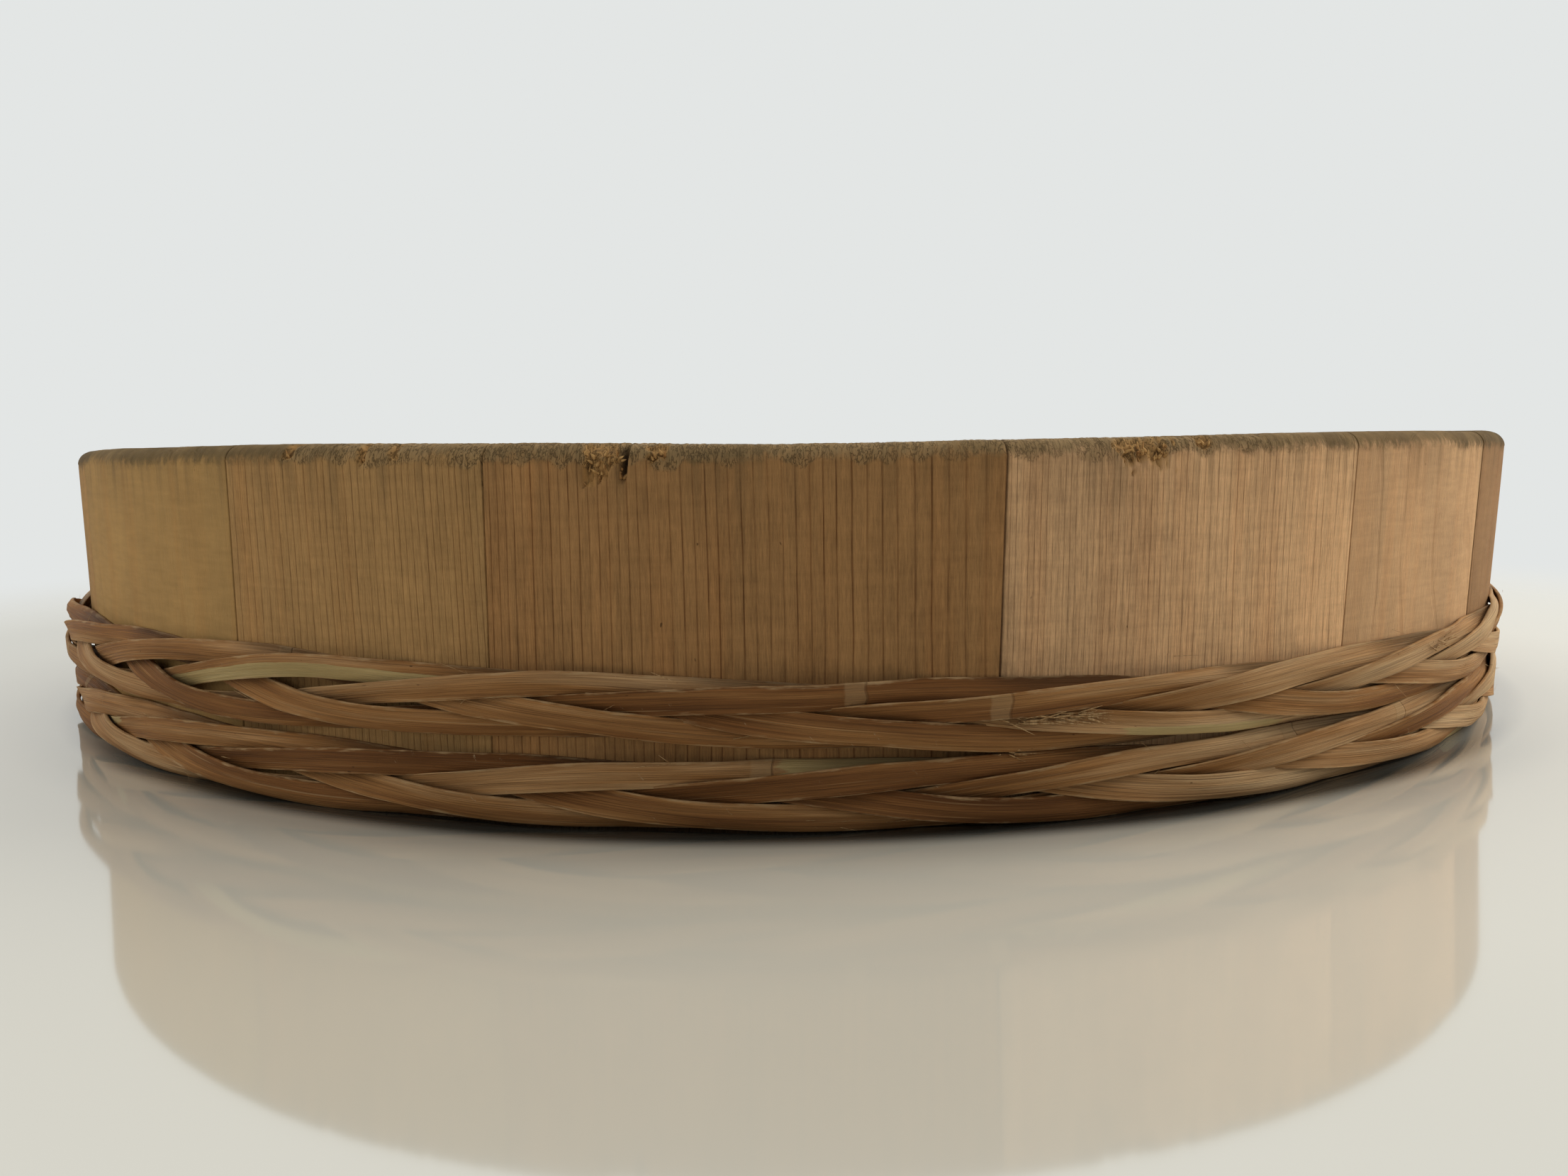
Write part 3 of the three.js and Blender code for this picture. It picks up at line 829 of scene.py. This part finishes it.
def make_splinters(material):
    """Torn fibres that stand in the torn places of the rim."""
    rng = np.random.default_rng(72)
    parts = []
    for at, half, depth in TORN:
        count = int(9 * half * depth)
        angle = at + half * rng.uniform(-1.1, 1.1, count)
        z = rim_height(angle) - 1.4 - depth * rng.uniform(0.05, 0.95, count)
        along, out = ring_directions(angle)
        rounding = 0.14 * np.clip(z - rim_height(angle) + 3.2, 0, None) ** 2
        start = ring_points(wall_radius(z) - rounding - rng.uniform(0.4, 0.9, count), angle, z)
        turn = rng.normal(0, 0.8, count)[:, None]
        direction = np.array([0, 0, 1.0]) * np.cos(turn) + along * np.sin(turn)
        length = np.minimum(rng.uniform(0.6, 1.6, count), rim_height(angle) - z - 0.7)
        parts.append((start, direction, out, length, rng.uniform(0.30, 0.75, count),
                      rng.uniform(-0.5, 0.5, count)))
    points, faces = slivers(*(np.concatenate(column) for column in zip(*parts)))
    make_piece("rim_splinters", points, faces, material, "basket", "stave_wood")


def splinter_material(name, dark, pale):
    s = Shader(name)
    x, y, z = s.position()
    point = s.vector(s.times(x, 1.6), s.times(y, 1.6), s.times(z, 0.8))
    tone = s.noise(point, 1.0, 3.0, 0.6)
    fine = s.noise(point, 4.0, 2.0, 0.6)
    colour = s.ramp(tone, [(0.35, dark), (0.65, pale)])
    return s.finish(colour, s.total((fine, 0.3), (1.0, 0.55)), fine, 0.05, specular=0.12)


# ---------------------------------------------------------------- bearers, mat and twine
def plank_material(name, early, dark, spacing, seed):
    """Plain sawn wood with its grain along Y."""
    s = Shader(name)
    x, y, z = s.position()
    waver = s.grain((x, 0.03), (y, 0.006), seed)
    rings = s.total((x, 0.8), (z, 0.6), (waver, 12.0), (1.0, 300.0))
    within = s.math("FRACT", s.math("DIVIDE", rings, spacing))
    late = s.total((s.step(within, 0.3, 0.95), 0.35), (s.band(within, 0.85, 0.95, 0.07), 0.5))
    colour = s.mix(late, early, dark)
    fibres = s.grain((x, 3.0), (y, 0.06), z, detail=4.0, roughness=0.65)
    patches = s.grain((x, 0.05), (y, 0.02), seed, detail=3.0)
    colour = s.scaled(colour, s.total((fibres, 0.4), (patches, 0.7), (1.0, 0.42)))
    stains = s.step(s.grain((x, 0.04), (y, 0.03), seed + 4, detail=4.0), 0.52, 0.68)
    colour = s.mix(s.times(stains, 0.4), colour, (0.15, 0.09, 0.045))
    roughness = s.total((fibres, 0.3), (1.0, 0.45))
    return s.finish(colour, roughness, s.total((fibres, 1.0), (late, -0.4)), 0.2, specular=0.25)


def slat_material():
    """Split bamboo slats that run along X. across is in millimetres from a slat's middle."""
    s = Shader("slat_bamboo")
    x, _, _ = s.position()
    across = s.attribute("across")
    number = s.attribute("number")
    skin_side = s.attribute("skin")

    def streaks(along_scale, across_scale, offset, detail=3.0):
        place = s.vector(
            s.total((x, along_scale), (number, 7.31)), s.times(across, across_scale),
            s.total((number, 3.77), (1.0, offset)))
        return s.noise(place, 1.0, detail, 0.6)

    broad = streaks(0.010, 0.10, 1.0)
    fibres = streaks(0.02, 2.6, 2.0, 4.0)
    skin = s.ramp(broad, [
        (0.30, (0.330, 0.205, 0.080)), (0.50, (0.455, 0.315, 0.135)), (0.70, (0.560, 0.425, 0.205)),
    ])
    flesh = s.ramp(broad, [
        (0.30, (0.250, 0.140, 0.060)), (0.50, (0.370, 0.225, 0.100)), (0.70, (0.470, 0.310, 0.150)),
    ])
    colour = s.mix(skin_side, flesh, skin)
    colour = s.scaled(colour, s.total((fibres, 0.6), (1.0, 0.70)))
    threads = s.step(streaks(0.008, 5.0, 3.0, 2.0), 0.58, 0.68)
    thread_strength = s.times(threads, s.total((skin_side, -0.3), (1.0, 0.45)))
    colour = s.mix(thread_strength, colour, (0.14, 0.075, 0.03))
    spots = s.step(streaks(0.10, 0.7, 4.0, 4.0), 0.60, 0.70)
    colour = s.mix(s.times(spots, 0.35), colour, (0.16, 0.095, 0.04))
    node_line = s.attribute("node")
    colour = s.mix(s.times(node_line, 0.55), colour, (0.20, 0.115, 0.05))
    roughness = s.total((skin_side, -0.20), (fibres, 0.25), (1.0, 0.50))
    return s.finish(colour, roughness, s.total((fibres, 1.0), (threads, -0.5)), 0.10, specular=0.4)


def twine_material():
    s = Shader("twine_fibre")
    along, ply = s.attribute("along"), s.attribute("ply")
    fibres = s.grain((along, 0.7), (ply, 3.0), 1.0, detail=4.0, roughness=0.7)
    broad = s.grain((along, 0.03), 2.0)
    colour = s.ramp(fibres, [
        (0.30, (0.140, 0.100, 0.055)), (0.50, (0.330, 0.260, 0.160)), (0.72, (0.520, 0.440, 0.300)),
    ])
    colour = s.scaled(colour, s.total((broad, 0.7), (1.0, 0.65)))
    return s.finish(colour, s.total((fibres, 0.1), (1.0, 0.82)), fibres, 0.12, specular=0.15)


def bar_section(width, depth, rounding, per_side=5):
    """Points round a bar's section with rounded corners, centred on 0 across, from 0 up."""
    points = []
    corners = [(1, 1, 0), (-1, 1, 90), (-1, 0, 180), (1, 0, 270)]
    for sx, sz, start in corners:
        cx = sx * (width / 2 - rounding)
        cz = depth - rounding if sz else rounding
        for degrees in np.linspace(start, start + 90, per_side):
            a = math.radians(degrees)
            points.append((cx + rounding * math.cos(a), cz + rounding * math.sin(a)))
    return np.array(points)


def make_bearer(node, material):
    low, high = (np.array(corner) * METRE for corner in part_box(node))
    width, depth = high[0] - low[0], high[2] - low[2]
    section = bar_section(width, depth, 0.9)
    steps = np.linspace(low[1] + 3.0, high[1] - 3.0, 150)
    across, up = section[:, 0][None, :], section[:, 1][None, :]
    worn = 0.15 * value_noise(steps[:, None] / 18, across / 9 + up / 5, 31)
    worn = worn + 0.08 * value_noise(steps[:, None] / 4, across / 3, 32)
    shrink = 1 - 0.02 * np.abs(worn)
    x = (low[0] + high[0]) / 2 + across * shrink
    z = low[2] + up + worn * (up > depth / 2)
    points = np.stack([x, steps[:, None] + 0 * x, z], axis=-1)
    make_loft(f"{node}_sawn", points, material, "basket", "bearer_wood", [node])


def make_slat(index, node, material):
    corners = node_points(node)
    low, high = corners.min(axis=0), corners.max(axis=0)
    reach = np.hypot(corners[:, 0], corners[:, 1]).max()
    rng = np.random.default_rng(500 + index)
    width = (high[1] - low[1]) * rng.uniform(0.95, 1.0)
    depth = high[2] - low[2]
    section = bar_section(width, depth, 0.55, per_side=4)
    across, up = section[:, 0][None, :], section[:, 1][None, :]
    y = (low[1] + high[1]) / 2 + across
    end = np.sqrt(reach**2 - y**2)
    share = np.linspace(-1, 1, 120)[:, None]
    x = share * end
    nodes_at = rng.uniform(-150, 150) + np.array([-260.0, 0.0, 260.0])
    from_node = np.abs(x[..., None] - nodes_at).min(axis=-1)
    swell = 0.28 * (1 - smooth(from_node, 0.3, 3.5))
    swell = swell - 0.12 * (1 - smooth(np.abs(from_node - 1.4), 0, 0.7))
    crown = 0.25 * (1 - (2 * across / width) ** 2)
    bow = 0.25 * value_noise(x / 70, index, 33)
    z = low[2] + up + (up > depth / 2) * (crown + swell - 0.2)
    points = np.stack([x, y + 0 * x + bow, z], axis=-1)
    attributes = {
        "across": across + 0 * x,
        "number": np.full(x.shape, index * 1.0),
        "skin": (up > depth * 0.6) + 0 * x,
        "node": (1 - smooth(np.abs(from_node - 1.3), 0, 0.8)) * (up > depth / 2),
    }
    make_loft(f"{node}_split", points, material, "mat", "slat_bamboo", [node], attributes)


TWINE_RADIUS = 0.62
TWINE_LAY = 3.4  # length of one turn of a cord's two plies


def tube(path, radius, seed):
    """A two-ply cord along a path: points of its sections, and its attributes."""
    steps = np.linalg.norm(np.diff(path, axis=0), axis=1)
    along = np.concatenate([[0], np.cumsum(steps)])
    tangent = np.gradient(path, axis=0)
    tangent /= np.linalg.norm(tangent, axis=1)[:, None]
    side = np.cross(tangent, (1.0, 0.0, 0.0))
    side /= np.linalg.norm(side, axis=1)[:, None]
    other = np.cross(tangent, side)
    around = np.linspace(0, 2 * np.pi, 10, endpoint=False)[None, :]
    twist = around * 2 - 2 * np.pi * along[:, None] / TWINE_LAY
    uneven = 1 + 0.05 * value_noise(along[:, None] / 3, seed, 41)
    size = radius * (1 + 0.16 * np.cos(twist)) * uneven
    ends = smooth(along, 0, 0.4) * smooth(along[-1] - along, 0, 0.4)
    size = size * (0.25 + 0.75 * ends)[:, None]
    points = path[:, None, :] + size[..., None] * (
        np.cos(around)[..., None] * side[:, None, :] + np.sin(around)[..., None] * other[:, None, :])
    return points, {"along": along[:, None] + 0 * twist, "ply": twist / (2 * np.pi)}


def knot_path(centre, size):
    """A small overhand knot, as a nearly closed curve round a point."""
    t = np.linspace(0.15, 2 * np.pi - 0.15, 90)
    x = 0.55 * (np.sin(t) + 2 * np.sin(2 * t))
    y = 0.40 * np.sin(3 * t) + 0.2
    z = 0.45 * (np.cos(t) - 2 * np.cos(2 * t))
    return centre + size * np.stack([x, y, z], axis=-1)


def make_twine_row(row, material):
    """Two cords that twist round each other between the slats."""
    boxes = [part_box(f"mat_twine_{row}{cord}") for cord in "ab"]
    low = np.minimum(*(np.array(b[0]) for b in boxes)) * METRE
    high = np.maximum(*(np.array(b[1]) for b in boxes)) * METRE
    slat_low, slat_high = (np.array(c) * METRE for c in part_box(SLATS[0]))
    pitch = (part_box(SLATS[1])[0].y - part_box(SLATS[0])[0].y) * METRE
    centre_x = (low[0] + high[0]) / 2
    middle_z = (slat_low[2] + slat_high[2]) / 2
    lift = (slat_high[2] - slat_low[2]) / 2 + TWINE_RADIUS + 0.05
    count = round((high[1] - low[1]) / pitch + 0.25)
    start = -(count - 1) / 2 * pitch
    y = np.arange(start - pitch * 0.55, -start + pitch * 0.55, 0.45)
    turn = (y - start) / pitch
    nearest = np.round(turn)
    # The cord stays flat over a slat and crosses within the gap.
    share = (turn - nearest) * pitch / (pitch / 2)
    half_gap = 1 - (slat_high[1] - slat_low[1]) / pitch
    crossing = np.sign(share) * 0.5 * smooth(np.abs(share), 1 - half_gap - 0.12, 1.0)
    twist = np.pi * (nearest + crossing)
    for cord, sign in (("a", 1), ("b", -1)):
        path = np.stack([
            centre_x + sign * 0.75 * np.sin(twist), y, middle_z + sign * lift * np.cos(twist)], axis=-1)
        points, attributes = tube(path, TWINE_RADIUS, row)
        node = f"mat_twine_{row}{cord}"
        make_loft(f"{node}_twisted", points, material, "mat", "twine", [node], attributes)
    for end, at in (("front", y[0] - 0.4), ("back", y[-1] + 0.4)):
        path = knot_path(np.array([centre_x, at, middle_z]), 0.85)
        points, attributes = tube(path, TWINE_RADIUS * 0.9, row)
        name = f"mat_twine_{row}_knot_{end}"
        make_loft(name, points, material, "mat", "twine", (), attributes)


# ---------------------------------------------------------------- stage, light and camera
# The camera stands at the height of the rim and looks slightly down.
CAMERA_DISTANCE = 375.0
CAMERA_HEIGHT = 60.0
CAMERA_PITCH = 6.42
CAMERA_TURN = 0.30
CAMERA_ROLL = 0.66
CAMERA_LENS = 29.35
CAMERA_SENSOR = 36.0
# The floor is a polished sheet that fades out into the backdrop between these radii.
FLOOR_INNER = 255.0
FLOOR_OUTER = 430.0
BACKDROP = (0.770, 0.790, 0.782)


def place(obj, position):
    obj.location = Vector(position) / METRE
    bpy.context.collection.objects.link(obj)
    return obj


def make_camera():
    data = bpy.data.cameras.new("camera")
    data.sensor_fit = "HORIZONTAL"
    data.sensor_width = CAMERA_SENSOR
    data.lens = CAMERA_LENS
    data.clip_start = 0.01
    data.clip_end = 50.0
    camera = place(bpy.data.objects.new("camera", data), (0, -CAMERA_DISTANCE, CAMERA_HEIGHT))
    turn = Matrix.Rotation(math.radians(CAMERA_TURN), 4, "Z")
    tilt = Matrix.Rotation(math.radians(90 - CAMERA_PITCH), 4, "X")
    roll = Matrix.Rotation(math.radians(-CAMERA_ROLL), 4, "Z")
    camera.rotation_euler = (turn @ tilt @ roll).to_euler()
    bpy.context.scene.camera = camera


def floor_material():
    s = Shader("floor")
    x, y, _ = s.position()
    cloud = s.grain((x, 0.006), (y, 0.006))
    specks = s.grain((x, 0.12), (y, 0.12), 3.0, detail=1.0)
    spot = s.step(specks, 0.83, 0.86)
    colour = s.mix(cloud, (0.645, 0.605, 0.500), (0.710, 0.675, 0.575))
    colour = s.mix(s.times(spot, 0.35), colour, (0.30, 0.28, 0.24))
    centre_distance = s.math("SQRT", s.total((s.times(x, x), 1.0), (s.times(y, y), 1.0)))
    # A dark line round the foot, outside the wall only, that strengthens the contact shadow; it is
    # strongest at the front.
    creep = s.total((centre_distance, 1.0), (cloud, 5.0), (1.0, -2.5 - RIM_RADIUS))
    outside = s.step(centre_distance, RIM_RADIUS - 2 * WALL, RIM_RADIUS - WALL)
    near_front = s.step(y, -155.0, -95.0, 1.0, 0.25)
    outside = s.times(outside, near_front)
    faint = s.times(s.step(creep, 1.5, 22.0, 0.34, 0.0), outside)
    strong = s.times(s.step(creep, 2.5, 8.5, 0.95, 0.0), outside)
    colour = s.mix(faint, colour, (0.075, 0.078, 0.066))
    colour = s.mix(strong, colour, (0.015, 0.015, 0.012))
    s.join(s.step(strong, 0.0, 1.0, 0.5, 0.15), s.surface.inputs["Specular IOR Level"])
    opaque = s.step(centre_distance, FLOOR_INNER, FLOOR_OUTER, 1.0, 0.0)
    s.join(opaque, s.surface.inputs["Alpha"])
    s.surface.inputs["IOR"].default_value = 3.3
    return s.finish(colour, s.total((cloud, 0.06), (1.0, 0.04)), cloud, 0.02, specular=0.5)


def make_floor():
    mesh = bpy.data.meshes.new("floor")
    half = FLOOR_OUTER * 1.1 / METRE
    corners = [(-half, -half, 0), (half, -half, 0), (half, half, 0), (-half, half, 0)]
    mesh.from_pydata(corners, [], [(0, 1, 2, 3)])
    mesh.materials.append(floor_material())
    floor = bpy.data.objects.new("floor", mesh)
    bpy.context.collection.objects.link(floor)


def make_light(name, position, target, width, height, power, colour):
    data = bpy.data.lights.new(name, "AREA")
    data.shape = "RECTANGLE"
    data.size, data.size_y = width / METRE, height / METRE
    data.energy = power
    data.color = colour
    light = place(bpy.data.objects.new(name, data), position)
    light.visible_glossy = False
    aim = Vector(target) - Vector(position)
    light.rotation_euler = aim.to_track_quat("-Z", "Y").to_euler()


def make_world():
    """A pale backdrop all round, which lights the object less than it shows."""
    world = bpy.data.worlds.new("backdrop")
    bpy.context.scene.world = world
    world.use_nodes = True
    nodes, links = world.node_tree.nodes, world.node_tree.links
    background = nodes["Background"]
    background.inputs["Color"].default_value = (*BACKDROP, 1.0)
    path = nodes.new("ShaderNodeLightPath")
    strength = nodes.new("ShaderNodeMapRange")
    strength.inputs["To Min"].default_value = 1.0
    strength.inputs["To Max"].default_value = 0.50
    links.new(path.outputs["Is Diffuse Ray"], strength.inputs["Value"])
    links.new(strength.outputs[0], background.inputs["Strength"])


make_camera()
make_floor()
make_world()
make_light("window", (900, 100, 420), (60, 0, 20), 700, 700, 9.0, (1.0, 0.99, 0.97))
make_light("left_fill", (-900, -200, 400), (-60, 0, 20), 800, 600, 2.9, (1.0, 0.99, 0.96))
make_light("sky", (0, 300, 1100), (0, 0, 0), 1200, 900, 4.2, (1.0, 1.0, 1.0))

for stave_index, stave_node in enumerate(STAVES):
    make_stave(stave_index, stave_node)
strip_bamboo = bamboo_strip_material()
for hoop_name, hoop_shape in HOOPS.items():
    make_hoop(hoop_name, hoop_shape, strip_bamboo)
make_frays(splinter_material("frayed_bamboo", (0.26, 0.13, 0.05), (0.50, 0.33, 0.16)))
make_splinters(splinter_material("torn_wood", (0.30, 0.14, 0.045), (0.56, 0.34, 0.13)))
bearer_wood = plank_material("bearer_wood", (0.44, 0.27, 0.12), (0.24, 0.13, 0.055), 2.6, 3.0)
make_bearer("bearer_left", bearer_wood)
make_bearer("bearer_right", bearer_wood)
slat_bamboo = slat_material()
for slat_index, slat_node in enumerate(SLATS):
    make_slat(slat_index, slat_node, slat_bamboo)
twine_fibre = twine_material()
for row_number in range(1, 5):
    make_twine_row(row_number, twine_fibre)

bpy.context.scene.view_settings.view_transform = "Standard"

bpy.context.view_layer.update()
